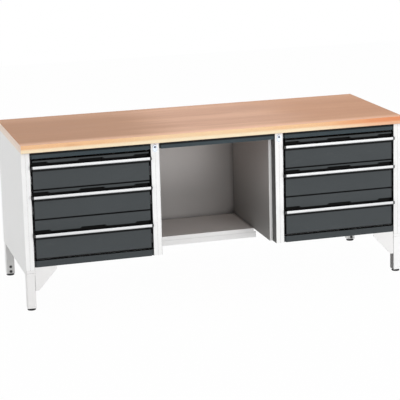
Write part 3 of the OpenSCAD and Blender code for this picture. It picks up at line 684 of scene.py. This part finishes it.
def plasticMaterial(name, settings):
    # black moulded plastic with a fine grain and scuffs; the wave is the thread of the feet's spindles
    made, g = newMaterial(name)
    z = g.axes(g.point())[2]
    grain = g.noise(g.point(), **settings["grainNoise"])
    scuff = g.remap(g.noise(g.point(), **settings["scuff"]), *settings["scuffSpan"])
    thread = (z * (2.0 * math.pi / settings["threadPitch"])).wave()
    color = g.blendColor(scuff * settings["scuffShare"], settings["base"], settings["scuffTone"])
    low = settings["roughness"] - settings["roughDown"]
    high = settings["roughness"] + settings["roughUp"]
    roughness = g.remap(grain, *settings["roughSpan"], low, high, False)
    g.finish({
        "Base Color": g.tint(color, grain, **settings["grain"]),
        "Roughness": roughness + scuff * settings["scuffRough"],
        "Normal": g.bump(grain + thread * settings["threadBump"], settings["bump"], settings["bumpDepth"]),
    })
    return made


# finishes named as the record's material slots, then the ones for single pieces
finishes = {
    "beech_plywood": beechMaterial("beechPlywood", veneerSettings, edgeSettings),
    "paint_light": paintMaterial("paintLight", bodySettings),
    "paint_dark": paintMaterial("paintDark", fasciaSettings, fasciaBands(fasciaSettings)),
    "aluminium": brushedMaterial("aluminiumBrushed", handleSettings),
    "zinc_steel": spangledMaterial("zincPlated", zincSettings),
    "black_plastic": plasticMaterial("plasticBlack", plasticSettings),
    "lock_chrome": brushedMaterial("chromePolished", lockSettings),
    "bayWalls": paintMaterial("paintLining", bayWallSettings),
    "bayBack": paintMaterial("paintBack", bayBackSettings),
    "posts": paintMaterial("paintPosts", postSettings),
    "boxes": paintMaterial("paintBoxes", boxSettings),
    "shelf": paintMaterial("paintShelf", shelfSettings, shelfBands(shelfSettings)),
    "rails": paintMaterial("paintRails", railSettings),
    "barrel": brushedMaterial("lockBarrelDark", barrelSettings),
    "rightLeg": paintMaterial("paintLegInner", rightLegSettings),
    "rearLegs": paintMaterial("paintLegRear", rearLegSettings),
    "lowerParts": paintMaterial("paintLowerParts", lowerSettings),
    "ends": paintMaterial("paintEnds", endFrameSettings),
}
nodesByFinish = {
    "bayWalls": ("bay_side_left", "bay_side_right"),
    "bayBack": ("bay_back",),
    "posts": ("centre_post_left", "centre_post_right"),
    "shelf": ("base_shelf",),
    "rails": ("bottom_rails",),
    "barrel": ("lock_barrel_left", "lock_barrel_right"),
    "rightLeg": ("leg_front_right",),
    "rearLegs": ("leg_rear_left", "leg_rear_right"),
    "lowerParts": ("leg_front_left", "leg_braces"),
    "ends": ("end_frame_left", "end_frame_right"),
}
finishByNode = {node: finish for finish, group in nodesByFinish.items() for node in group}
for level in drawerLevels:
    bands = frontBands(frontSettings, level)
    finishes[level] = paintMaterial("paintFront_" + level, frontSettings, bands)
    for side in drawerSides:
        finishByNode["%s_%s_drawer_front" % (side, level)] = level
        finishByNode["%s_%s_drawer_box" % (side, level)] = "boxes"
for entry in frame["record"]["subparts"]:
    target = nodes[entry["node"]]
    finish = finishes[finishByNode.get(entry["node"], entry["material_slot"])]
    if not target.material_slots:
        target.data.materials.append(finish)
    for place in target.material_slots:
        place.material = finish
print("stage: finishes on", len(nodes), "nodes")

worktopSettings = {"edgeRadius": 0.0020, "edgeSteps": 3}
# the caps' sizes in metres: length past the handle, stand over it, depth, corner radius and lip
capSettings = {
    "length": 0.0085, "over": 0.0004, "depth": 0.0195, "radius": 0.0060, "lip": 0.0042,
    "rounding": 0.0007, "roundingSteps": 2, "cornerSteps": 8, "lipSteps": 6,
}


def roundEdges(piece, name, width, steps):
    rounding = piece.modifiers.new(name, "BEVEL")
    rounding.width = width
    rounding.segments = steps
    rounding.limit_method = "ANGLE"


def arc(centre, radius, start, turn, steps, withEnds=True):
    # points round a centre, by degrees from a start
    picked = range(steps + 1) if withEnds else range(1, steps)
    angles = [math.radians(start + turn * step / steps) for step in picked]
    return [(centre[0] + radius * math.cos(a), centre[1] + radius * math.sin(a)) for a in angles]


def capProfile(settings, low, high):
    # the handle's J section, seen from its end as points of y and z
    over, r, lip = settings["over"], settings["radius"], settings["lip"]
    front, back = low[1] - over, low[1] + settings["depth"]
    bottom, top = low[2] - over, high[2] + over
    innerRadius = r - lip / 2
    innerCentre = (front + lip + innerRadius, bottom + lip + innerRadius)
    profile = [(back, bottom)]
    profile += arc((front + r, bottom + r), r, 270, -90, settings["cornerSteps"])
    profile += arc((front + lip / 2, top - lip / 2), lip / 2, 180, -180, settings["lipSteps"])
    profile += [(front + lip, bottom + r)]
    profile += arc(innerCentre, innerRadius, 180, 90, settings["lipSteps"], withEnds=False)
    profile += [(back, bottom + lip)]
    return profile


def makeCap(name, settings, body, low, high, atRight):
    # a moulded cap that closes one end of a handle, shaped like its section and a little proud
    inner = high[0] if atRight else low[0]
    outer = inner + settings["length"] * (1 if atRight else -1)
    profile = capProfile(settings, low, high)
    mesh = bmesh.new()
    first, second = ([mesh.verts.new((x, y, z)) for y, z in profile] for x in (inner, outer))
    for i in range(len(profile)):
        j = (i + 1) % len(profile)
        mesh.faces.new((first[i], first[j], second[j], second[i]))
    mesh.faces.new(first)
    mesh.faces.new(list(reversed(second)))
    bmesh.ops.recalc_face_normals(mesh, faces=mesh.faces)
    data = bpy.data.meshes.new(name)
    mesh.to_mesh(data)
    mesh.free()
    made = newObject(name, data)
    roundEdges(made, "rounding", settings["rounding"], settings["roundingSteps"])
    data.materials.append(finishes["black_plastic"])
    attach(made, body)


roundEdges(nodes["worktop"], "softEdge", worktopSettings["edgeRadius"], worktopSettings["edgeSteps"])
for side in drawerSides:
    for level in drawerLevels:
        drawer = "%s_%s_drawer" % (side, level)
        handleLow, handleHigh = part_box(drawer + "_handle")
        for end in ("left", "right"):
            capName = "%s_%s_handle_cap_%s" % (side, level, end)
            makeCap(capName, capSettings, drawer, handleLow, handleHigh, end == "right")
print("stage: worktop's edge and handle caps")
